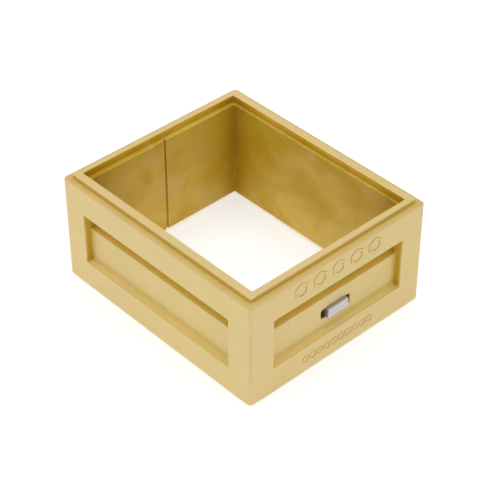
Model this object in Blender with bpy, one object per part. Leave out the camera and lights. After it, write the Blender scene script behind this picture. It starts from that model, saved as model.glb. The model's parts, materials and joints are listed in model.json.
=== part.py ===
"""Moulded foam hive body for Langstroth frames, with a sliding metal entrance block.

The box is one rigid-foam moulding. A stacking tongue stands on its shoulder, a relief under it
takes the tongue of the box below, and a rebate inside the tongue carries the frame ends. Each
wall has a hand hold, shallow below and deeper above, where the fingers go. The front hand hold
has a slot through the wall. A bar of aluminium slides sideways in that slot and leaves a way in
for the bees at each end. Its plate runs in a guide that is screwed inside the front wall.

Frame: origin at the centre of the underside, +Z up, front wall towards -Y, metres.
"""

import math

import bmesh
import bpy
from mathutils import Matrix, Vector

# Outside of the moulding
OUTER_X = 0.462
OUTER_Y = 0.541
SHOULDER_Z = 0.241
OUTER_CORNER = 0.0092
SHOULDER_EDGE = 0.004
BOTTOM_EDGE = 0.0015

# Stacking tongue and frame rebate, as insets from the outer faces
TONGUE_HEIGHT = 0.009
TONGUE_INSET = 0.0142
TONGUE_INNER_INSET_X = 0.0315
TONGUE_INNER_INSET_Y = 0.0270
TONGUE_EDGE = 0.0012
LEDGE_DROP = 0.0042
WALL_X = 0.039
WALL_Y = 0.0392
SMALL_CORNER = 0.004
INNER_EDGE = 0.001

# Underside relief that drops over the tongue below
RELIEF_DEPTH = 0.0096
TONGUE_CLEARANCE = 0.0012
PRY_NOTCH = 0.030
PRY_NOTCH_DEPTH = 0.002

# Hand holds
HOLD_BOTTOM = 0.0612
HOLD_TOP = 0.1802
HOLD_HALF_FRONT = 0.172
HOLD_HALF_SIDE = 0.211
HOLD_DEPTH = 0.0157
FINGER_DEPTH = 0.028
FINGER_LIP = 0.1409
FINGER_RAMP = math.radians(12)
HOLD_DRAFT = math.radians(3)
HOLD_FILLET = 0.003
FINGER_LIP_EDGE = 0.3 * HOLD_FILLET
HOLD_OPENING_EDGE = 0.002

# Entrance slot, its block and the way the block can move
SLOT_X = 0.0062
SLOT_Z = 0.0998
SLOT_LENGTH = 0.0792
SLOT_HEIGHT = 0.024
SLOT_CORNER = 0.006
BLOCK_LENGTH = 0.0531
BLOCK_HEIGHT = 0.0216
BLOCK_RISE = 0.0008
BLOCK_STANDS_OUT = 0.0081
BLOCK_EDGE = 0.0006
BLOCK_TRAVEL = 0.008

# Slide plate, guide and the pocket they sit in
GAP = 0.0003
POCKET_LENGTH = 0.116
POCKET_HEIGHT = 0.056
POCKET_DEPTH = 0.0105
POCKET_CORNER = 0.004
PLATE_HEIGHT = 0.038
PLATE_THICK = 0.0025
PLATE_CORNER = 0.002
GUIDE_PLATE_THICK = 0.003
GUIDE_CLEARANCE = 0.0005
GUIDE_SCREW_X = 0.050
GUIDE_SCREW_Z = 0.0225
SLIDE_SCREW_X = 0.015

# Division board grooves
GROOVE_WIDTH = 0.0064
GROOVE_DEPTH = 0.004

# Screws
SHANK_RADIUS = 0.002
SLIDE_SCREW_LENGTH = 0.0105
GUIDE_SCREW_LENGTH = 0.0150
HEAD_RADIUS = 0.0037
HEAD_HEIGHT = 0.0022
HEAD_CROWN = 0.0010
HEAD_CROWN_END = math.radians(55)
POINT_CHAMFER = 0.0010
SOCKET_RADIUS = 0.0015
SOCKET_DEPTH = 0.0012
SOCKET_SIDES = 6

# Raised hexagon cells on the front wall
MARK_RELIEF = 0.0012
MARK_DRAFT = 0.0005
LARGE_MARKS = {"count": 5, "pitch": 0.0485, "x": -0.0049, "z": 0.2125, "radius": 0.0185, "width": 0.0058}
SMALL_MARKS = {"count": 10, "pitch": 0.0192, "x": 0.0, "z": 0.0316, "radius": 0.0098, "width": 0.0032}

# Mesh fineness, the angles that count as an edge, and how far a cutter reaches past its face
CORNER_STEPS = 6
ROUND_SEGMENTS = 20
CROWN_STEPS = 3
BEVEL_ANGLE = math.radians(40)
SHARP_ANGLE = math.radians(35)
OVERLAP = 0.005

HALF_X = OUTER_X / 2
HALF_Y = OUTER_Y / 2
TONGUE_TOP = SHOULDER_Z + TONGUE_HEIGHT
LEDGE_Z = SHOULDER_Z - LEDGE_DROP
FRONT_FLOOR_Y = -HALF_Y + HOLD_DEPTH
INNER_FRONT_Y = -HALF_Y + WALL_Y
POCKET_FLOOR_Y = INNER_FRONT_Y - POCKET_DEPTH
PLATE_BACK_Y = POCKET_FLOOR_Y + GAP + PLATE_THICK
GUIDE_FACE_Y = PLATE_BACK_Y + GAP + GUIDE_PLATE_THICK
BLOCK_Z = SLOT_Z + BLOCK_RISE
HOLE_RADIUS = SHANK_RADIUS + GAP


def material(name, colour, roughness, metallic=0.0):
    """A plain Principled material."""
    made = bpy.data.materials.new(name)
    made.use_nodes = True
    shader = made.node_tree.nodes["Principled BSDF"]
    shader.inputs["Base Color"].default_value = (*colour, 1.0)
    shader.inputs["Roughness"].default_value = roughness
    shader.inputs["Metallic"].default_value = metallic
    made.diffuse_color = (*colour, 1.0)
    return made


def new_object(name, mesh, finish=None):
    """Links a mesh into the scene as a named object."""
    made = bpy.data.objects.new(name, mesh)
    bpy.context.scene.collection.objects.link(made)
    if finish:
        mesh.materials.append(finish)
    return made


def mesh_from(name, build):
    """Runs build(bm) on an empty bmesh and returns a mesh with its faces pointing out."""
    bm = bmesh.new()
    build(bm)
    bmesh.ops.recalc_face_normals(bm, faces=bm.faces)
    mesh = bpy.data.meshes.new(name)
    bm.to_mesh(mesh)
    bm.free()
    return mesh


def rounded_rectangle(half_x, half_y, radius, steps=CORNER_STEPS):
    """Points of a rounded rectangle about the origin, anticlockwise."""
    points = []
    for quarter in range(4):
        middle = math.radians(45 + 90 * quarter)
        centre_x = math.copysign(half_x - radius, math.cos(middle))
        centre_y = math.copysign(half_y - radius, math.sin(middle))
        for step in range(steps + 1):
            angle = math.radians(90 * (quarter + step / steps))
            points.append((centre_x + radius * math.cos(angle), centre_y + radius * math.sin(angle)))
    return points


def bridge(bm, first, second):
    """Quads between two rings of the same number of vertices."""
    count = len(first)
    for i in range(count):
        j = (i + 1) % count
        bm.faces.new((first[i], first[j], second[j], second[i]))


def rounded_block(name, centre, size, radius, axis="Z", finish=None):
    """A prism with a rounded rectangle for its section. axis is the way it is extruded."""
    turn = {"Z": Matrix.Identity(4), "Y": Matrix.Rotation(math.radians(90), 4, "X")}[axis]
    along = {"Z": size[2], "Y": size[1]}[axis]
    across = {"Z": size[1], "Y": size[2]}[axis]
    outline = rounded_rectangle(size[0] / 2, across / 2, radius)

    def build(bm):
        rings = [[bm.verts.new((x, y, z)) for x, y in outline] for z in (-along / 2, along / 2)]
        bridge(bm, *rings)
        for ring in rings:
            bm.faces.new(ring)
        bmesh.ops.transform(bm, matrix=Matrix.Translation(Vector(centre)) @ turn, verts=bm.verts)

    return new_object(name, mesh_from(name, build), finish)


def box(name, low, high, finish=None):
    """An axis-aligned box from its two opposite corners."""
    size = [b - a for a, b in zip(low, high)]
    middle = [(a + b) / 2 for a, b in zip(low, high)]

    def build(bm):
        bmesh.ops.create_cube(bm, size=1.0)
        bmesh.ops.scale(bm, vec=size, verts=bm.verts)
        bmesh.ops.translate(bm, vec=middle, verts=bm.verts)

    return new_object(name, mesh_from(name, build), finish)


def turned(name, profile, centre, segments=ROUND_SEGMENTS, finish=None):
    """A solid turned about an axis along Y. profile is (radius, y) pairs, on the axis at both ends."""

    def build(bm):
        ends = [bm.verts.new((0, y, 0)) for _, y in (profile[0], profile[-1])]
        rings = []
        for radius, y in profile[1:-1]:
            angles = [2 * math.pi * i / segments for i in range(segments)]
            rings.append([bm.verts.new((radius * math.cos(a), y, radius * math.sin(a))) for a in angles])
        for first, second in zip(rings, rings[1:]):
            bridge(bm, first, second)
        for apex, ring in zip(ends, (rings[0], rings[-1])):
            for i in range(segments):
                bm.faces.new((apex, ring[i], ring[(i + 1) % segments]))
        bmesh.ops.translate(bm, vec=centre, verts=bm.verts)

    return new_object(name, mesh_from(name, build), finish)


def rod_cutter(name, centre, radius, start_y, end_y, segments=ROUND_SEGMENTS):
    """A cutter for a round hole along Y."""
    profile = [(0, start_y), (radius, start_y), (radius, end_y), (0, end_y)]
    return turned(name, profile, centre, segments)


def hide_cutter(cutter):
    """A cutter shows as wire and is left out of the model."""
    cutter.hide_render = True
    cutter.display_type = "WIRE"


def combine(target, other, operation):
    """Adds a Boolean of other to target, and hides other as a cutter."""
    change = target.modifiers.new(f"{operation.title()} {other.name}", "BOOLEAN")
    change.operation = operation
    change.object = other
    change.solver = "EXACT"
    hide_cutter(other)


def bevel(target, width, segments=2, limit="ANGLE"):
    """Rounds a piece's sharp edges, or those with a bevel weight."""
    change = target.modifiers.new("Rounded edges", "BEVEL")
    change.width = width
    change.segments = segments
    change.limit_method = limit
    change.angle_limit = BEVEL_ANGLE
    return change


def apply_modifiers(target):
    """Turns a piece's modifiers into mesh."""
    bpy.context.view_layer.update()
    evaluated = target.evaluated_get(bpy.context.evaluated_depsgraph_get())
    mesh = bpy.data.meshes.new_from_object(evaluated)
    target.modifiers.clear()
    target.data = mesh


def weigh_edges(mesh, chosen):
    """Gives a bevel weight of 1 to each edge whose two ends pass chosen(a, b)."""
    weights = mesh.attributes.new("bevel_weight_edge", "FLOAT", "EDGE")
    for edge in mesh.edges:
        ends = [mesh.vertices[i].co for i in edge.vertices]
        weights.data[edge.index].value = 1.0 if chosen(*ends) else 0.0


def shade(target):
    """Smooth shading that keeps the sharp edges."""
    target.data.shade_smooth()
    target.data.set_sharp_from_angle(angle=SHARP_ANGLE)


# ---------------------------------------------------------------- the moulding


def edge_arc(inset_x, inset_y, z, radius, first, last, corner, steps=3):
    """Stations along a rounded edge. 0 degrees faces outwards and 90 faces up, and corner is the
    corner radius of the ring through the edge's centre."""
    stations = []
    for step in range(steps + 1):
        angle = math.radians(first + (last - first) * step / steps)
        out = radius * math.cos(angle)
        stations.append((inset_x - out, inset_y - out, corner + out, z + radius * math.sin(angle)))
    return stations


def wall_section():
    """Stations (inset_x, inset_y, corner radius, z) once round the wall's section."""
    low, top, tip, rim = BOTTOM_EDGE, SHOULDER_EDGE, TONGUE_EDGE, INNER_EDGE
    skirt = TONGUE_INSET - TONGUE_CLEARANCE
    tongue_corner = SMALL_CORNER - tip
    inside = (TONGUE_INNER_INSET_X, TONGUE_INNER_INSET_Y)
    return [
        *edge_arc(low, low, low, low, -90, 0, OUTER_CORNER - low, 2),
        *edge_arc(top, top, SHOULDER_Z - top, top, 0, 90, OUTER_CORNER - top, 4),
        (TONGUE_INSET, TONGUE_INSET, SMALL_CORNER, SHOULDER_Z),
        *edge_arc(TONGUE_INSET + tip, TONGUE_INSET + tip, TONGUE_TOP - tip, tip, 0, 90, tongue_corner),
        *edge_arc(inside[0] - tip, inside[1] - tip, TONGUE_TOP - tip, tip, 90, 180, SMALL_CORNER),
        (*inside, SMALL_CORNER, LEDGE_Z),
        *edge_arc(WALL_X - rim, WALL_Y - rim, LEDGE_Z - rim, rim, 90, 180, SMALL_CORNER, 2),
        *edge_arc(WALL_X - rim, WALL_Y - rim, RELIEF_DEPTH + rim, rim, 180, 270, SMALL_CORNER, 2),
        (skirt, skirt, SMALL_CORNER + TONGUE_CLEARANCE, RELIEF_DEPTH),
        *edge_arc(skirt - rim, skirt - rim, rim, rim, 180, 270, SMALL_CORNER, 2),
    ]


def blank():
    """The box without its hand holds, slot and grooves: one section taken round four walls."""

    def build(bm):
        rings = []
        for inset_x, inset_y, corner, z in wall_section():
            outline = rounded_rectangle(HALF_X - inset_x, HALF_Y - inset_y, corner)
            rings.append([bm.verts.new((x, y, z)) for x, y in outline])
        for first, second in zip(rings, rings[1:] + rings[:1]):
            bridge(bm, first, second)

    return mesh_from("hive_body", build)


def hand_hold_cutter(name, half_length, wall_distance, turn):
    """The hollow of one hand hold, with draft on its sides and fillets in its corners.

    The profile runs from outside the wall along the sill, up the shallow floor to the lip, in
    along the finger pocket's ramp, up its back and out along the ceiling."""
    slope = math.tan(HOLD_DRAFT)
    pocket_back = FINGER_LIP + (FINGER_DEPTH - HOLD_DEPTH) * math.tan(FINGER_RAMP)
    profile = [
        (-OVERLAP, HOLD_BOTTOM - OVERLAP * slope),
        (HOLD_DEPTH, HOLD_BOTTOM + HOLD_DEPTH * slope),
        (HOLD_DEPTH, FINGER_LIP),
        (FINGER_DEPTH, pocket_back),
        (FINGER_DEPTH, HOLD_TOP - FINGER_DEPTH * slope),
        (-OVERLAP, HOLD_TOP + OVERLAP * slope),
    ]
    outside, lip = {0, 5}, 2
    lip_weight = FINGER_LIP_EDGE / HOLD_FILLET

    def build(bm):
        sides = []
        for side in (-1, 1):
            places = [(side * (half_length - depth * slope), depth, z) for depth, z in profile]
            sides.append([bm.verts.new(place) for place in places])
        bridge(bm, *sides)
        for side in sides:
            bm.faces.new(side)
        weight = bm.edges.layers.float.new("bevel_weight_edge")
        index = {vert: i for side in sides for i, vert in enumerate(side)}
        for edge in bm.edges:
            ends = {index[vert] for vert in edge.verts}
            edge[weight] = 0.0 if ends <= outside else lip_weight if ends == {lip} else 1.0

    cutter = new_object(name, mesh_from(name, build))
    cutter.data.transform(Matrix.Rotation(turn, 4, "Z") @ Matrix.Translation((0, -wall_distance, 0)))
    bevel(cutter, HOLD_FILLET, 3, "WEIGHT")
    return cutter


def pry_notches(name):
    """Four shallow corner blocks, cut from the underside where a hive tool goes in."""

    def build(bm):
        for side_x in (-1, 1):
            for side_y in (-1, 1):
                made = bmesh.ops.create_cube(bm, size=1.0)["verts"]
                height = OVERLAP + PRY_NOTCH_DEPTH
                size = (PRY_NOTCH + OVERLAP, PRY_NOTCH + OVERLAP, height)
                bmesh.ops.scale(bm, vec=size, verts=made)
                place = (
                    side_x * (HALF_X + (OVERLAP - PRY_NOTCH) / 2),
                    side_y * (HALF_Y + (OVERLAP - PRY_NOTCH) / 2),
                    PRY_NOTCH_DEPTH - height / 2,
                )
                bmesh.ops.translate(bm, vec=place, verts=made)

    return new_object(name, mesh_from(name, build))


def hexagon_marks(name):
    """Raised hexagon cells in two rows on the front wall, each a ring with drafted sides."""

    def ring_points(x, z, radius, y):
        angles = [math.radians(30 + 60 * i) for i in range(6)]
        return [(x + radius * math.cos(a), y, z + radius * math.sin(a)) for a in angles]

    def build(bm):
        root_y = -HALF_Y + MARK_RELIEF
        face_y = -HALF_Y - MARK_RELIEF
        for row in (LARGE_MARKS, SMALL_MARKS):
            for i in range(row["count"]):
                x = row["x"] + (i - (row["count"] - 1) / 2) * row["pitch"]
                outer, inner = row["radius"], row["radius"] - row["width"]
                loops = [
                    (outer, root_y),
                    (outer - MARK_DRAFT, face_y),
                    (inner + MARK_DRAFT, face_y),
                    (inner, root_y),
                ]
                rings = [[bm.verts.new(p) for p in ring_points(x, row["z"], r, y)] for r, y in loops]
                for first, second in zip(rings, rings[1:] + rings[:1]):
                    bridge(bm, first, second)

    return new_object(name, mesh_from(name, build))


def is_mouth_edge(a, b):
    """True for an edge round the mouth of a hand hold, on the outer face of its wall."""
    close, slack = 1e-5, 0.001
    front, side = HOLD_HALF_FRONT + slack, HOLD_HALF_SIDE + slack
    in_band = all(HOLD_BOTTOM - slack < p.z < HOLD_TOP + slack for p in (a, b))
    across_front = all(abs(abs(p.y) - HALF_Y) < close and abs(p.x) < front for p in (a, b))
    across_side = all(abs(abs(p.x) - HALF_X) < close and abs(p.y) < side for p in (a, b))
    return in_band and (across_front or across_side)


def hive_body(finish):
    """The moulding, with its hand holds, entrance slot, guide pocket and grooves."""
    body = new_object("hive_body", blank(), finish)
    walls = [
        ("hold_front", HOLD_HALF_FRONT, HALF_Y, 0),
        ("hold_right", HOLD_HALF_SIDE, HALF_X, 90),
        ("hold_back", HOLD_HALF_FRONT, HALF_Y, 180),
        ("hold_left", HOLD_HALF_SIDE, HALF_X, 270),
    ]
    for name, half_length, distance, turn in walls:
        combine(body, hand_hold_cutter(name, half_length, distance, math.radians(turn)), "DIFFERENCE")
    combine(body, pry_notches("pry_notches"), "DIFFERENCE")
    apply_modifiers(body)
    weigh_edges(body.data, is_mouth_edge)
    bevel(body, HOLD_OPENING_EDGE, 3, "WEIGHT")
    apply_modifiers(body)

    combine(body, hexagon_marks("hexagon_marks"), "UNION")
    slot_y = (FRONT_FLOOR_Y + POCKET_FLOOR_Y) / 2
    slot_size = (SLOT_LENGTH, WALL_Y, SLOT_HEIGHT)
    slot = rounded_block("entrance_slot", (SLOT_X, slot_y, SLOT_Z), slot_size, SLOT_CORNER, "Y")
    combine(body, slot, "DIFFERENCE")
    pocket_y = INNER_FRONT_Y + (OVERLAP - POCKET_DEPTH) / 2
    pocket_size = (POCKET_LENGTH, POCKET_DEPTH + OVERLAP, POCKET_HEIGHT)
    pocket = rounded_block("guide_pocket", (SLOT_X, pocket_y, SLOT_Z), pocket_size, POCKET_CORNER, "Y")
    combine(body, pocket, "DIFFERENCE")
    for name, side in (("groove_front", -1), ("groove_back", 1)):
        ends = sorted(side * (HALF_Y - WALL_Y + reach) for reach in (-OVERLAP, GROOVE_DEPTH))
        low = (-GROOVE_WIDTH / 2, ends[0], -OVERLAP)
        high = (GROOVE_WIDTH / 2, ends[1], SHOULDER_Z)
        combine(body, box(name, low, high), "DIFFERENCE")
    for name, x, z in guide_screw_places():
        reach = POCKET_FLOOR_Y - (GUIDE_SCREW_LENGTH + GAP - (GUIDE_FACE_Y - POCKET_FLOOR_Y))
        hole = rod_cutter(f"{name}_hole", (x, 0, z), HOLE_RADIUS, reach - GAP, INNER_FRONT_Y)
        combine(body, hole, "DIFFERENCE")
    shade(body)
    return body


# ---------------------------------------------------------------- the entrance slide


def pan_screw(name, centre, length, finish):
    """A pan head screw along Y. centre is under its head, and its point is towards -Y."""
    crown_foot = HEAD_HEIGHT - HEAD_CROWN
    angles = [HEAD_CROWN_END * step / CROWN_STEPS for step in range(CROWN_STEPS + 1)]
    crown = [(HEAD_RADIUS * math.cos(a), crown_foot + HEAD_CROWN * math.sin(a)) for a in angles]
    top = crown[-1][1]
    profile = [
        (0, -length),
        (SHANK_RADIUS - POINT_CHAMFER, -length),
        (SHANK_RADIUS, -length + POINT_CHAMFER),
        (SHANK_RADIUS, 0),
        (HEAD_RADIUS, 0),
        *crown,
        (0, top),
    ]
    screw = turned(name, profile, centre, finish=finish)
    ends = (top - SOCKET_DEPTH, top + OVERLAP)
    socket = rod_cutter(f"{name}_socket", centre, SOCKET_RADIUS, *ends, SOCKET_SIDES)
    combine(screw, socket, "DIFFERENCE")
    shade(screw)
    return screw


def guide_screw_places():
    """Names and places of the four screws that hold the guide."""
    corners = [(-1, 1), (1, 1), (-1, -1), (1, -1)]
    names = ["upper_left", "upper_right", "lower_left", "lower_right"]
    return [
        (f"guide_screw_{name}", SLOT_X + side * GUIDE_SCREW_X, SLOT_Z + rise * GUIDE_SCREW_Z)
        for name, (side, rise) in zip(names, corners)
    ]


def slide_screw_places():
    """Names and places of the two screws that join the plate to the block."""
    return [(f"slide_screw_{n}", SLOT_X + s * SLIDE_SCREW_X) for n, s in (("left", -1), ("right", 1))]


def entrance_block(finish):
    """The bar that shows in the slot, with two blind holes in its back."""
    front = FRONT_FLOOR_Y - BLOCK_STANDS_OUT
    back = POCKET_FLOOR_Y
    low = (SLOT_X - BLOCK_LENGTH / 2, front, BLOCK_Z - BLOCK_HEIGHT / 2)
    high = (SLOT_X + BLOCK_LENGTH / 2, back, BLOCK_Z + BLOCK_HEIGHT / 2)
    block = box("entrance_block", low, high, finish)
    bevel(block, BLOCK_EDGE, 2)
    depth = SLIDE_SCREW_LENGTH - PLATE_THICK + GAP
    for name, x in slide_screw_places():
        hole = rod_cutter(f"{name}_tapping", (x, 0, BLOCK_Z), HOLE_RADIUS, back - depth, back + OVERLAP)
        combine(block, hole, "DIFFERENCE")
    shade(block)
    return block


def slide_plate(finish):
    """The plate behind the block. It is taller than the slot and so keeps the block in the wall."""
    middle = PLATE_BACK_Y - PLATE_THICK / 2
    size = (BLOCK_LENGTH, PLATE_THICK, PLATE_HEIGHT)
    plate = rounded_block("slide_plate", (SLOT_X, middle, SLOT_Z), size, PLATE_CORNER, "Y", finish)
    for name, x in slide_screw_places():
        ends = (PLATE_BACK_Y - PLATE_THICK - OVERLAP, PLATE_BACK_Y + OVERLAP)
        combine(plate, rod_cutter(f"{name}_hole", (x, 0, BLOCK_Z), HOLE_RADIUS, *ends), "DIFFERENCE")
    shade(plate)
    return plate


def slide_guide(finish):
    """The guide: a plate with a window for the bees, and a channel that the slide plate runs in."""
    foot = POCKET_FLOOR_Y + GAP
    size = (POCKET_LENGTH - 2 * GAP, GUIDE_FACE_Y - foot, POCKET_HEIGHT - 2 * GAP)
    middle = (SLOT_X, (GUIDE_FACE_Y + foot) / 2, SLOT_Z)
    guide = rounded_block("slide_guide", middle, size, POCKET_CORNER - GAP, "Y", finish)
    channel_length = BLOCK_LENGTH + 2 * (BLOCK_TRAVEL + GUIDE_CLEARANCE)
    channel_top = GUIDE_FACE_Y - GUIDE_PLATE_THICK
    half = (max(channel_length, SLOT_LENGTH) / 2 + GUIDE_CLEARANCE, PLATE_HEIGHT / 2 + GUIDE_CLEARANCE)
    low = (SLOT_X - half[0], foot - OVERLAP, SLOT_Z - half[1])
    high = (SLOT_X + half[0], channel_top, SLOT_Z + half[1])
    combine(guide, box("guide_channel", low, high), "DIFFERENCE")
    window_size = (SLOT_LENGTH, WALL_Y, SLOT_HEIGHT)
    window = rounded_block("guide_window", middle, window_size, SLOT_CORNER, "Y")
    combine(guide, window, "DIFFERENCE")
    for name, x, z in guide_screw_places():
        hole = rod_cutter(f"{name}_guide_hole", (x, 0, z), HOLE_RADIUS, foot - OVERLAP, INNER_FRONT_Y)
        combine(guide, hole, "DIFFERENCE")
    shade(guide)
    return guide


def clear_scene():
    """Removes whatever the start-up file holds."""
    for old in list(bpy.data.objects):
        bpy.data.objects.remove(old)


def build_hive_box():
    """Builds every piece. The slide's pieces hang on an empty at the middle of its travel."""
    clear_scene()
    foam = material("moulded_foam", (0.68, 0.52, 0.24), 0.8)
    aluminium = material("aluminium_bar", (0.75, 0.75, 0.74), 0.35, 1.0)
    sheet = material("zinc_sheet", (0.60, 0.61, 0.62), 0.45, 1.0)
    plastic = material("guide_plastic", (0.06, 0.06, 0.06), 0.55)
    steel = material("screw_steel", (0.55, 0.55, 0.55), 0.3, 1.0)

    hive_body(foam)
    slide_guide(plastic)
    for name, x, z in guide_screw_places():
        pan_screw(name, (x, GUIDE_FACE_Y + GAP, z), GUIDE_SCREW_LENGTH, steel)

    carriage = bpy.data.objects.new("entrance_slide_axis", None)
    carriage.location = (SLOT_X, FRONT_FLOOR_Y, BLOCK_Z)
    bpy.context.scene.collection.objects.link(carriage)
    moving = [entrance_block(aluminium), slide_plate(sheet)]
    for name, x in slide_screw_places():
        moving.append(pan_screw(name, (x, PLATE_BACK_Y + GAP, BLOCK_Z), SLIDE_SCREW_LENGTH, steel))
    for piece in moving:
        piece.parent = carriage
        piece.matrix_parent_inverse = Matrix.Translation(carriage.location).inverted()


build_hive_box()
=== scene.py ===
"""The looks of the hive box: its foam skin, metal slide, guide, studio and camera."""

import json
import math

import bpy
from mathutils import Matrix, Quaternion, Vector


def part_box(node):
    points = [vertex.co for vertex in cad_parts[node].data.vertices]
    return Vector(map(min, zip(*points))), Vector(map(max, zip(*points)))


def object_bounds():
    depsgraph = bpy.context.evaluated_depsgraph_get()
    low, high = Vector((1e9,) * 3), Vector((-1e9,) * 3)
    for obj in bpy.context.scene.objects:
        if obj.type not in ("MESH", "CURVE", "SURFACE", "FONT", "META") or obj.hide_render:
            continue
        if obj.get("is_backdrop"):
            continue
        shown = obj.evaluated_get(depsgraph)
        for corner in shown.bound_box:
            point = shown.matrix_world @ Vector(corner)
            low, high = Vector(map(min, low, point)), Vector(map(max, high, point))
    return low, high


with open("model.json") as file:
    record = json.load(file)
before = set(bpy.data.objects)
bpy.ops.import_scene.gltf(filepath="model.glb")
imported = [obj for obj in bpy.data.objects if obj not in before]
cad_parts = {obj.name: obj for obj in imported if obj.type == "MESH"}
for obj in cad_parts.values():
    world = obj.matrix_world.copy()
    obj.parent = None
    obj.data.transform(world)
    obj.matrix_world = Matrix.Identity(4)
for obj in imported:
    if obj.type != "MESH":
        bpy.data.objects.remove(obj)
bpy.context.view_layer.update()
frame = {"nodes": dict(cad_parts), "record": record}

# Camera, in the frame of the part: degrees and metres
CAMERA_AZIMUTH = -42.8688
CAMERA_ELEVATION = 39.0845
CAMERA_ROLL = -0.0294
CAMERA_DISTANCE = 3.2567
CAMERA_TARGET = Vector((-0.0021, -0.0100, 0.1097))
CAMERA_LENS = 120.26
SENSOR_WIDTH = 36.0

# A stated opening stays a little clear of the faces round it. A mask reaches past its opening by
# one of these, in metres, to take in the faces that it is for.
REBATE_MARGIN = 0.0016  # the walls of the rebate
LEDGE_MARGIN = 0.002  # the ledge under the rebate
GROOVE_MARGIN = 0.006  # the walls of the bay, with the grooves cut in them
SLOT_MARGIN = 0.005  # the walls of the entrance slot, and the backs, tops and sills of the hand holds
HOLD_MARGIN = 0.0012  # the fillets at the ends of the hand holds
FACE_MARGIN = 0.0008  # a flat floor, ledge or wall
TONGUE_MARGIN = 0.0006  # the other way, from the relief's opening in to the outside of the tongue

# Where the painted shading of the foam and the bar starts and ends, in metres
SHADING_START = 0.001  # depth where the painted shade on a hand hold's ends and the painted light on its sill start
SHADING_DEPTH = 0.006  # depth where a hollow's walls reach their full painted shade, and a sill its full painted light
SHOULDER_EDGE = 0.004  # height of the shoulder's rounded edge
CORNER_SHADE = (0.17, 0.01)  # distances before the sides of the rebate's opening
NOOK_SHADE = (0.060, 0.0)  # distances before the sides of the bay's opening
FINGER_FADE = (0.004, 0.014)  # heights above the bottom of the finger pockets' openings
SILL_FADE = (-0.005, 0.010)  # heights from the bottom of the hand holds' openings
BAR_SHADE_START = 0.001  # behind the front face of the bar, where its painted shade starts
BAR_SHADE_END = 0.002  # before the plate behind the bar, where its painted shade is full

# How far off another surface still counts when a surface is tested for how open it is, in metres
CREASE_REACH = 0.018
MARK_REACH = 0.003
FOAM_EDGE_REACH = 0.004
BAR_EDGE_REACH = 0.0015

# How much of the crease shading is left high in the finger pockets, at the sills and in the rebate
CREASE_IN_POCKETS = 0.35
CREASE_AT_SILLS = 0.20
CREASE_IN_REBATE = 0.4

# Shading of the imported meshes
SHARP_ANGLE = math.radians(32)
WELD_DISTANCE = 0.00001

# Studio. The tent's levels are (height, brightness), with the horizon at 0 and straight up at 1.
FLOOR_HALF = 7.0
FLOOR_DROP = 0.0004
FLOOR_GLOW = 0.52
TENT_STRENGTH = 2.0
TENT_LEVELS = (
    (0.0, 0.305),
    (0.22, 0.292),
    (0.42, 0.12),
    (0.62, 0.17),
    (0.80, 0.40),
    (0.93, 0.86),
    (1.0, 1.26),
)
TENT_CORNERS = -0.80  # low down, brightens the front right and back left and dims the other two
TENT_BACK_LEFT = 0.085  # shifts the light from the front right to the back left


# ---------------------------------------------------------------- node helpers


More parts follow.
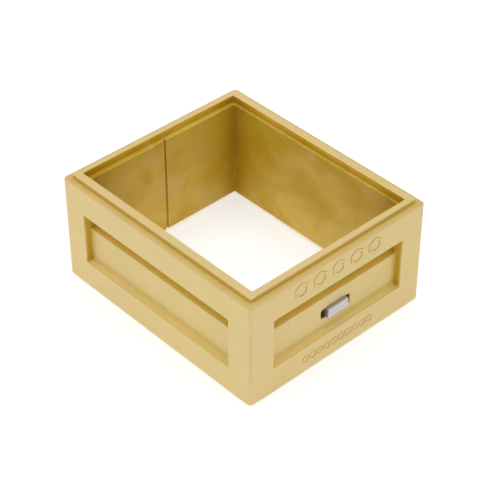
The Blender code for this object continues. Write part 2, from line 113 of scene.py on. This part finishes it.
class Tree:
    """A material's node tree, with short calls for the nodes used here."""

    def __init__(self, name):
        self.material = bpy.data.materials.new(name)
        self.material.use_nodes = True
        self.nodes = self.material.node_tree.nodes
        self.links = self.material.node_tree.links
        self.shader = self.nodes["Principled BSDF"]
        self.place = self.add("ShaderNodeTexCoord").outputs["Object"]

    def add(self, kind, settings=None, **inputs):
        """Adds a node. settings are its properties, inputs its sockets by name or by in0, in1."""
        made = self.nodes.new(kind)
        for key, value in (settings or {}).items():
            setattr(made, key, value)
        for key, value in inputs.items():
            numbered = key[:2] == "in" and key[2:].isdigit()
            self.feed(made.inputs[int(key[2:]) if numbered else key], value)
        return made

    def feed(self, socket, value):
        """Links an output to a socket, or sets the socket's value."""
        if isinstance(value, bpy.types.NodeSocket):
            self.links.new(value, socket)
        else:
            socket.default_value = value

    def axes(self):
        """The place along X, Y and Z."""
        return list(self.add("ShaderNodeSeparateXYZ", Vector=self.place).outputs)

    def stretched(self, scale):
        """Object coordinates scaled along each axis."""
        return self.add("ShaderNodeMapping", Vector=self.place, Scale=scale).outputs["Vector"]

    def noise(self, scale, detail, distortion=0.0, where=None):
        """Cloudy noise, about 0.5 on average."""
        values = {"Scale": scale, "Detail": detail, "Distortion": distortion}
        values["Vector"] = where or self.place
        return self.add("ShaderNodeTexNoise", **values).outputs["Fac"]

    def cells(self, scale):
        """Distance to the nearest of scattered points, small at the points."""
        return self.add("ShaderNodeTexVoronoi", Scale=scale, Vector=self.place).outputs["Distance"]

    def linear(self, value, low, high, to_low, to_high):
        """Maps low..high evenly onto to_low..to_high."""
        return self.remap(value, low, high, to_low, to_high, "LINEAR")

    def remap(self, value, low, high, to_low=0.0, to_high=1.0, curve="SMOOTHSTEP"):
        """Maps low..high onto to_low..to_high, with soft ends."""
        settings = {"interpolation_type": curve}
        ends = {"From Min": low, "From Max": high, "To Min": to_low, "To Max": to_high}
        return self.add("ShaderNodeMapRange", settings, Value=value, **ends).outputs["Result"]

    def maths(self, operation, first, second=0.0):
        """One step of arithmetic, on sockets or numbers."""
        return self.add("ShaderNodeMath", {"operation": operation}, in0=first, in1=second).outputs[0]

    def product(self, first, *others):
        """All the values multiplied together."""
        for other in others:
            first = self.maths("MULTIPLY", first, other)
        return first

    def between(self, value, low, high):
        """1 where low < value < high, and 0 elsewhere."""
        return self.product(self.maths("GREATER_THAN", value, low), self.maths("LESS_THAN", value, high))

    def mix(self, factor, first, second, blend="MIX"):
        """Mixes two colours, whose sockets on a Mix node are inputs 6 and 7 and output 2."""
        made = self.add("ShaderNodeMix", {"data_type": "RGBA", "blend_type": blend}, in0=factor)
        self.feed(made.inputs[6], first)
        self.feed(made.inputs[7], second)
        return made.outputs[2]

    def openness(self, distance, samples, inside=False):
        """How open the surface is within a distance, from 0 shut in to 1 open. With inside, it
        looks into the solid instead, and is lower at its edges than on its flat faces."""
        settings = {"samples": samples, "only_local": True, "inside": inside}
        return self.add("ShaderNodeAmbientOcclusion", settings, Distance=distance).outputs["AO"]

    def bump(self, height, distance, strength, below=None):
        """Relief of a given distance in metres, on top of the relief below."""
        values = {"Height": height, "Distance": distance, "Strength": strength}
        if below:
            values["Normal"] = below
        return self.add("ShaderNodeBump", **values).outputs["Normal"]

    def finish(self, **sockets):
        """Sets or links the shader's sockets and returns the material."""
        for key, value in sockets.items():
            self.feed(self.shader.inputs[key.replace("_", " ")], value)
        return self.material


def colour(red, green, blue):
    """An opaque colour."""
    return (red, green, blue, 1.0)


# ---------------------------------------------------------------- materials


def opening(name):
    """The lowest and highest corners of a stated opening."""
    openings = frame["record"]["physics"]["openings"]
    return next(hollow["box_m"] for hollow in openings if hollow["name"] == name)


def entrance_shade(tree):
    """Painted shade on the walls of the entrance slot, from none at its mouth to full inside."""
    left = opening("entrance_left")
    right = opening("entrance_right")
    mouth = opening("front_hold_left")[1][1] + FACE_MARGIN
    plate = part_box("slide_plate")[0][1]
    x, y, z = tree.axes()
    along = tree.between(x, left[0][0] - SLOT_MARGIN, right[1][0] + SLOT_MARGIN)
    upright = tree.between(z, left[0][2] - SLOT_MARGIN, left[1][2] + SLOT_MARGIN)
    depth = tree.linear(y, mouth, mouth + SHADING_DEPTH, 0.0, 1.0)
    return tree.product(along, upright, tree.between(y, mouth, plate), depth)


def hold_masks(tree):
    """Masks over the hand holds of all four walls: their end walls, the depth of their finger
    pockets from 0 at the shallow floor to 1 at the back, and their sills."""
    side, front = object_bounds()[1][:2]
    front_hold = opening("front_hold_right")
    side_hold = opening("right_hold")
    fingers = opening("right_hold_fingers")
    floor = side - side_hold[0][0] + FACE_MARGIN
    back = side - fingers[0][0]
    deepest = back + SLOT_MARGIN

    x, y, z = tree.axes()
    across = tree.maths("ABSOLUTE", x)
    along = tree.maths("ABSOLUTE", y)
    under_side = tree.maths("SUBTRACT", side, across)
    under_front = tree.maths("SUBTRACT", front, along)
    depth = tree.maths("MINIMUM", under_side, under_front)

    def end_walls(place, hold_end, under):
        """1 past the end of a hold, down to its deepest point."""
        past = tree.maths("GREATER_THAN", place, hold_end + HOLD_MARGIN)
        return tree.product(past, tree.maths("LESS_THAN", under, deepest))

    band = tree.between(z, side_hold[0][2] - SLOT_MARGIN, fingers[1][2] + SLOT_MARGIN)
    within = tree.maths("LESS_THAN", depth, deepest)
    shading_depth = tree.remap(depth, SHADING_START, SHADING_DEPTH)
    front_end = end_walls(across, front_hold[1][0], under_front)
    side_end = end_walls(along, side_hold[1][1], under_side)
    ends = tree.product(tree.maths("MAXIMUM", front_end, side_end), band, shading_depth)
    pockets = tree.product(tree.linear(depth, floor, back, 0.0, 1.0), band, within)
    sills = tree.product(tree.maths("LESS_THAN", z, side_hold[0][2]), band, within, shading_depth)
    return ends, pockets, sills


def inside_masks(tree):
    """Masks over the inside: all of it, the rebate, the walls as they near the corners, the
    corners themselves, and the upright faces of the rebate."""
    x, y, z = tree.axes()
    from_middle = (tree.maths("ABSOLUTE", x), tree.maths("ABSOLUTE", y))
    bay = opening("frame_bay")[1]
    (_, _, ledge), rebate = opening("frame_rebate")

    def up_to(walls, margin):
        """1 from the middle up to the walls of an opening and a margin beyond."""
        short_of = [tree.maths("LESS_THAN", from_middle[i], walls[i] + margin) for i in (0, 1)]
        return tree.product(*short_of)

    def towards_corners(walls, start, end):
        """Rises to 1 in the corners, from start to end before the walls of an opening."""
        rises = [tree.remap(from_middle[i], walls[i] - start, walls[i] - end) for i in (0, 1)]
        return tree.product(*rises)

    above_ledge = tree.maths("GREATER_THAN", z, ledge - LEDGE_MARGIN)
    recessed = tree.product(up_to(rebate, REBATE_MARGIN), above_ledge)
    inside = tree.maths("MAXIMUM", up_to(bay, GROOVE_MARGIN), recessed)
    corners = towards_corners(rebate, *CORNER_SHADE)
    nooks = tree.product(inside, towards_corners(bay, *NOOK_SHADE))
    riser = tree.product(inside, tree.maths("GREATER_THAN", z, ledge + FACE_MARGIN))
    return inside, recessed, corners, nooks, riser


def mark_outline(tree):
    """Painted shade at the foot of the raised marks on the front wall."""
    _, y, _ = tree.axes()
    front = -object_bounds()[1][1]
    shut_in = tree.linear(tree.openness(MARK_REACH, samples=24), 0.60, 0.95, 1.0, 0.0)
    return tree.product(shut_in, tree.maths("LESS_THAN", y, front + FACE_MARGIN))


def shoulder(tree):
    """1 on the shoulder and on the outside of the stacking tongue, fading out over the shoulder's
    rounded outer edge."""
    # The rounded edge starts at about the height of the ledge
    foot = opening("frame_rebate")[0][2] - FACE_MARGIN
    reach_x, reach_y = opening("underside_relief")[1][:2]
    x, y, z = tree.axes()
    beyond_x = tree.maths("GREATER_THAN", tree.maths("ABSOLUTE", x), reach_x - TONGUE_MARGIN)
    beyond_y = tree.maths("GREATER_THAN", tree.maths("ABSOLUTE", y), reach_y - TONGUE_MARGIN)
    rise = tree.remap(z, foot, foot + SHOULDER_EDGE)
    return tree.product(tree.maths("MAXIMUM", beyond_x, beyond_y), rise)


def creases(tree, upper, recessed):
    """How shut in the surface is, for the painted shade in creases and hollows, weakened high in the
    finger pockets, at the sills of the hand holds and in the rebate."""
    _, _, z = tree.axes()
    sill = opening("right_hold")[0][2]
    shut_in = tree.linear(tree.openness(CREASE_REACH, samples=24), 0.30, 0.97, 1.0, 0.0)
    in_pockets = tree.linear(upper, 0.0, 1.0, 1.0, CREASE_IN_POCKETS)
    at_sills = tree.remap(z, sill + SILL_FADE[0], sill + SILL_FADE[1], CREASE_AT_SILLS, 1.0)
    in_rebate = tree.linear(recessed, 0.0, 1.0, 1.0, CREASE_IN_REBATE)
    return tree.product(shut_in, in_pockets, at_sills, in_rebate)


def foam_outside(tree):
    """Colour of the outside: beige clouds with a warmer blush in patches."""
    clouds = tree.remap(tree.noise(8.0, detail=2.0, distortion=0.6), 0.30, 0.70)
    tone = tree.mix(clouds, colour(0.865, 0.645, 0.275), colour(0.815, 0.632, 0.245))
    blush = tree.remap(tree.noise(13.0, detail=3.0, distortion=0.5), 0.48, 0.74, 0.0, 0.8)
    return tree.mix(blush, tone, colour(0.860, 0.622, 0.300))


def foam_inside(tree, corners):
    """Colour of the inside, with painted shade: the same foam as the outside, painted a deep yellow, with
    flow marks and a paler haze, and painted deepest in the corners.
    """
    flow = tree.noise(1.0, detail=2.0, distortion=0.6, where=tree.stretched((9.0, 9.0, 14.0)))
    tone = tree.mix(tree.remap(flow, 0.32, 0.62), colour(0.610, 0.395, 0.008), colour(0.740, 0.520, 0.075))
    haze = tree.noise(13.0, detail=3.0, distortion=0.5)
    tone = tree.mix(tree.remap(haze, 0.50, 0.72, 0.0, 0.7), tone, colour(0.700, 0.500, 0.150))
    return tree.mix(tree.product(corners, 0.7), tone, colour(0.560, 0.350, 0.004))


def foam_relief(tree):
    """Slow swells, the grain of the skin and fine pores."""
    skin = tree.noise(420.0, detail=3.0)
    pores = tree.remap(tree.cells(520.0), 0.05, 0.30)
    swell = tree.noise(30.0, detail=1.0)
    normal = tree.bump(swell, distance=0.0006, strength=0.5)
    normal = tree.bump(skin, distance=0.00012, strength=0.6, below=normal)
    return tree.bump(pores, distance=0.00010, strength=0.35, below=normal)


def foam_skin():
    """Matte moulded skin of rigid foam: cloudy beige, paler where its edges are worn, with fine pores.
    Painted shade makes it deeper inside, where it is shut in, at the ends of the hand holds, in the
    entrance slot and on the shoulder. Painted light lifts the sills, the rebate's upright faces and
    the low part of the finger pockets."""
    tree = Tree("foam_skin")
    inside, recessed, corners, nooks, riser = inside_masks(tree)
    ends, pockets, sills = hold_masks(tree)
    # The finger pockets get their painted shade low down only. Higher up it would show from the sides as a
    # yellow strip.
    _, _, z = tree.axes()
    low, high = [opening("right_hold_fingers")[0][2] + rise for rise in FINGER_FADE]
    upper = tree.product(pockets, tree.remap(z, low, high))
    lower = tree.maths("SUBTRACT", pockets, upper)
    lower_any_depth = tree.linear(lower, 0.0, 0.15, 0.0, 1.0)
    tints = (
        # Painted shade in the corners of the bay
        (nooks, colour(0.830, 0.770, 0.400)),
        # Painted light on the upright faces of the rebate, near the open top
        (riser, colour(1.220, 1.180, 1.050)),
        # Painted shade in creases and hollows
        (creases(tree, upper, recessed), colour(0.860, 0.780, 0.050)),
        # Painted shade on the end walls of the hand holds
        (ends, colour(0.760, 0.680, 0.160)),
        # Painted light on the sills of the hand holds
        (sills, colour(1.100, 1.120, 1.080)),
        # Painted light over the low part of the finger pockets
        (lower_any_depth, colour(1.030, 1.030, 0.880)),
        # Painted shade at the foot of the raised marks
        (mark_outline(tree), colour(0.780, 0.660, 0.300)),
        # Painted shade on the shoulder and the outside of the stacking tongue
        (shoulder(tree), colour(0.880, 0.830, 0.720)),
        # Painted shade in the finger pockets, low down, deepest at their backs
        (lower, colour(0.920, 0.880, 0.500)),
        # Painted shade inside the entrance slot
        (entrance_shade(tree), colour(0.220, 0.140, 0.015)),
    )
    # The inside is the same foam as the outside: its deeper colour is painted shade
    body = tree.mix(inside, foam_outside(tree), foam_inside(tree, corners))
    for mask, tint in tints:
        body = tree.mix(mask, body, tint, "MULTIPLY")
    pale_edges = tree.remap(tree.openness(FOAM_EDGE_REACH, samples=12, inside=True), 0.50, 0.95, 0.55, 0.0)
    pale_edges = tree.product(pale_edges, tree.remap(tree.noise(60.0, detail=3.0), 0.35, 0.65))
    body = tree.mix(pale_edges, body, colour(0.880, 0.720, 0.360))
    roughness = tree.remap(tree.noise(45.0, detail=4.0), 0.35, 0.65, 0.50, 0.60)
    roughness = tree.maths("MAXIMUM", roughness, tree.product(nooks, 0.85))
    normal = foam_relief(tree)
    return tree.finish(Base_Color=body, Roughness=roughness, Normal=normal, Specular_IOR_Level=0.4)


def drawn_aluminium():
    """Satin extruded bar: fine lines along its length, paler scratches, edges painted lighter as a
    highlight, and painted shade that deepens from its front face to the plate behind it, inside the slot."""
    tree = Tree("drawn_aluminium")
    lines = tree.noise(1.0, detail=4.0, where=tree.stretched((18.0, 2600.0, 2600.0)))
    scratches = tree.noise(1.0, detail=2.0, distortion=0.3, where=tree.stretched((60.0, 900.0, 900.0)))
    tone = tree.mix(tree.remap(lines, 0.3, 0.7), colour(0.520, 0.525, 0.535), colour(0.640, 0.645, 0.660))
    tone = tree.mix(tree.remap(scratches, 0.62, 0.74), tone, colour(0.74, 0.74, 0.74))
    # Painted highlight: the bar's edges are painted lighter
    pale_edges = tree.remap(tree.openness(BAR_EDGE_REACH, samples=12, inside=True), 0.50, 0.95, 0.9, 0.0)
    tone = tree.mix(pale_edges, tone, colour(0.86, 0.86, 0.86))
    # Painted shade on the bar, deepening from its front face into the slot
    _, y, _ = tree.axes()
    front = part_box("entrance_block")[0][1]
    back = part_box("slide_plate")[0][1]
    inward_shade = tree.linear(y, front + BAR_SHADE_START, back - BAR_SHADE_END, 0.0, 1.0)
    tone = tree.mix(inward_shade, tone, colour(0.030, 0.024, 0.018))
    roughness = tree.remap(lines, 0.25, 0.75, 0.36, 0.50)
    normal = tree.bump(lines, distance=0.00003, strength=0.6)
    return tree.finish(Base_Color=tone, Metallic=0.6, Roughness=roughness, Normal=normal)


def zinc_sheet():
    """Galvanised sheet: flat crystals of slightly different grey."""
    tree = Tree("zinc_sheet")
    crystals = tree.add("ShaderNodeTexVoronoi", Scale=160.0, Vector=tree.place).outputs["Color"]
    grey = tree.add("ShaderNodeRGBToBW", Color=crystals).outputs["Val"]
    haze = tree.noise(90.0, detail=3.0)
    tone = tree.mix(tree.remap(grey, 0.2, 0.8), colour(0.50, 0.51, 0.52), colour(0.66, 0.67, 0.68))
    tone = tree.mix(tree.remap(haze, 0.4, 0.7, 0.0, 0.5), tone, colour(0.58, 0.58, 0.57))
    roughness = tree.remap(grey, 0.2, 0.8, 0.38, 0.52)
    normal = tree.bump(haze, distance=0.00005, strength=0.5)
    return tree.finish(Base_Color=tone, Metallic=1.0, Roughness=roughness, Normal=normal)


def guide_plastic():
    """Black moulded plastic with a fine grain and a little dust."""
    tree = Tree("guide_plastic")
    grain = tree.noise(900.0, detail=3.0)
    dust = tree.remap(tree.noise(70.0, detail=4.0), 0.45, 0.75, 0.0, 0.5)
    tone = tree.mix(dust, colour(0.030, 0.028, 0.026), colour(0.065, 0.058, 0.048))
    roughness = tree.remap(grain, 0.3, 0.7, 0.42, 0.60)
    normal = tree.bump(grain, distance=0.00008, strength=0.6)
    return tree.finish(Base_Color=tone, Roughness=roughness, Normal=normal)


def screw_steel():
    """Zinc plated steel: uneven roughness, and patches where the plating has yellowed."""
    tree = Tree("screw_steel")
    marks = tree.noise(1400.0, detail=3.0)
    patches = tree.noise(260.0, detail=2.0)
    tone = tree.mix(tree.remap(patches, 0.35, 0.7), colour(0.50, 0.51, 0.52), colour(0.64, 0.62, 0.56))
    roughness = tree.remap(marks, 0.3, 0.7, 0.24, 0.40)
    normal = tree.bump(marks, distance=0.00003, strength=0.5)
    return tree.finish(Base_Color=tone, Metallic=1.0, Roughness=roughness, Normal=normal)


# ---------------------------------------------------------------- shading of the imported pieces


def edge_smoothing(angle):
    """A node group that shades smooth all edges flatter than the angle."""
    group = bpy.data.node_groups.new("smooth_by_angle", "GeometryNodeTree")
    group.interface.new_socket("Geometry", in_out="INPUT", socket_type="NodeSocketGeometry")
    group.interface.new_socket("Geometry", in_out="OUTPUT", socket_type="NodeSocketGeometry")
    start = group.nodes.new("NodeGroupInput")
    end = group.nodes.new("NodeGroupOutput")
    between = group.nodes.new("GeometryNodeInputMeshEdgeAngle")
    flatter = group.nodes.new("FunctionNodeCompare")
    flatter.operation = "LESS_THAN"
    flatter.inputs["B"].default_value = angle
    smooth = group.nodes.new("GeometryNodeSetShadeSmooth")
    smooth.domain = "EDGE"
    group.links.new(between.outputs["Unsigned Angle"], flatter.inputs["A"])
    group.links.new(start.outputs[0], smooth.inputs["Geometry"])
    group.links.new(flatter.outputs["Result"], smooth.inputs["Shade Smooth"])
    group.links.new(smooth.outputs[0], end.inputs[0])
    return group


def shade_pieces(group):
    """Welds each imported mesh's split corners and shades its rounded edges smooth."""
    for piece in frame["nodes"].values():
        piece.data.shade_smooth()
        weld = piece.modifiers.new("Weld", "WELD")
        weld.merge_threshold = WELD_DISTANCE
        piece.modifiers.new("Smooth by angle", "NODES").node_group = group
        piece.modifiers.new("Weighted normals", "WEIGHTED_NORMAL").keep_sharp = True


def dress_pieces():
    """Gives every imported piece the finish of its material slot."""
    finishes = {
        "foam": foam_skin(),
        "aluminium": drawn_aluminium(),
        "zinc_sheet": zinc_sheet(),
        "guide_plastic": guide_plastic(),
        "screw_steel": screw_steel(),
    }
    for part in frame["record"]["subparts"]:
        mesh = frame["nodes"][part["node"]].data
        mesh.materials.clear()
        mesh.materials.append(finishes[part["material_slot"]])


# ---------------------------------------------------------------- studio


def floor():
    """A plain white sheet under the box, which gives off some light of its own, slightly blue."""
    left, right = -FLOOR_HALF, FLOOR_HALF
    corners = [(left, left), (right, left), (right, right), (left, right)]
    mesh = bpy.data.meshes.new("floor")
    mesh.from_pydata([(x, y, -FLOOR_DROP) for x, y in corners], [], [(0, 1, 2, 3)])
    sheet = bpy.data.objects.new("floor", mesh)
    bpy.context.scene.collection.objects.link(sheet)
    tree = Tree("floor_white")
    glow = {"Emission_Color": colour(0.88, 0.93, 1.0), "Emission_Strength": FLOOR_GLOW}
    mesh.materials.append(tree.finish(Base_Color=colour(0.72, 0.72, 0.72), Roughness=0.9, **glow))
    sheet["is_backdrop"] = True


def light_tent():
    """Soft light from a white tent: a faint band low down, strongest at two opposite corners, and
    a bright top."""
    world = bpy.data.worlds.new("light_tent")
    world.use_nodes = True
    bpy.context.scene.world = world
    nodes, links = world.node_tree.nodes, world.node_tree.links

    def maths(operation, *values):
        """One step of arithmetic, on sockets or numbers."""
        made = nodes.new("ShaderNodeMath")
        made.operation = operation
        for socket, value in zip(made.inputs, values):
            if isinstance(value, bpy.types.NodeSocket):
                links.new(value, socket)
            else:
                socket.default_value = value
        return made.outputs[0]

    parts = nodes.new("ShaderNodeSeparateXYZ")
    links.new(nodes.new("ShaderNodeTexCoord").outputs["Generated"], parts.inputs[0])
    x, y, height = parts.outputs
    ramp = nodes.new("ShaderNodeValToRGB")
    ramp.color_ramp.interpolation = "B_SPLINE"
    stops = ramp.color_ramp.elements
    while len(stops) < len(TENT_LEVELS):
        stops.new(0.5)
    for stop, (place, level) in zip(stops, TENT_LEVELS):
        stop.position = place
        stop.color = (level, level, level, 1)
    links.new(height, ramp.inputs["Fac"])
    lobes = maths("MULTIPLY_ADD", maths("MULTIPLY", x, y), TENT_CORNERS, 1.0)
    lobes = maths("MULTIPLY_ADD", maths("SUBTRACT", y, x), TENT_BACK_LEFT, lobes)
    background = nodes["Background"]
    links.new(maths("MULTIPLY", ramp.outputs["Color"], lobes), background.inputs["Color"])
    background.inputs["Strength"].default_value = TENT_STRENGTH


def camera():
    """A long lens that looks down on the front left corner."""
    azimuth = math.radians(CAMERA_AZIMUTH)
    elevation = math.radians(CAMERA_ELEVATION)
    flat = math.cos(elevation)
    back = Vector((math.sin(azimuth) * flat, -math.cos(azimuth) * flat, math.sin(elevation)))
    data = bpy.data.cameras.new("camera")
    data.lens = CAMERA_LENS
    data.sensor_width = SENSOR_WIDTH
    made = bpy.data.objects.new("camera", data)
    bpy.context.scene.collection.objects.link(made)
    made.location = CAMERA_TARGET + back * CAMERA_DISTANCE
    made.rotation_mode = "QUATERNION"
    roll = Quaternion(back, math.radians(CAMERA_ROLL))
    made.rotation_quaternion = roll @ (-back).to_track_quat("-Z", "Y")
    bpy.context.scene.camera = made


dress_pieces()
shade_pieces(edge_smoothing(SHARP_ANGLE))
floor()
light_tent()
camera()
bpy.context.scene.view_settings.view_transform = "Standard"
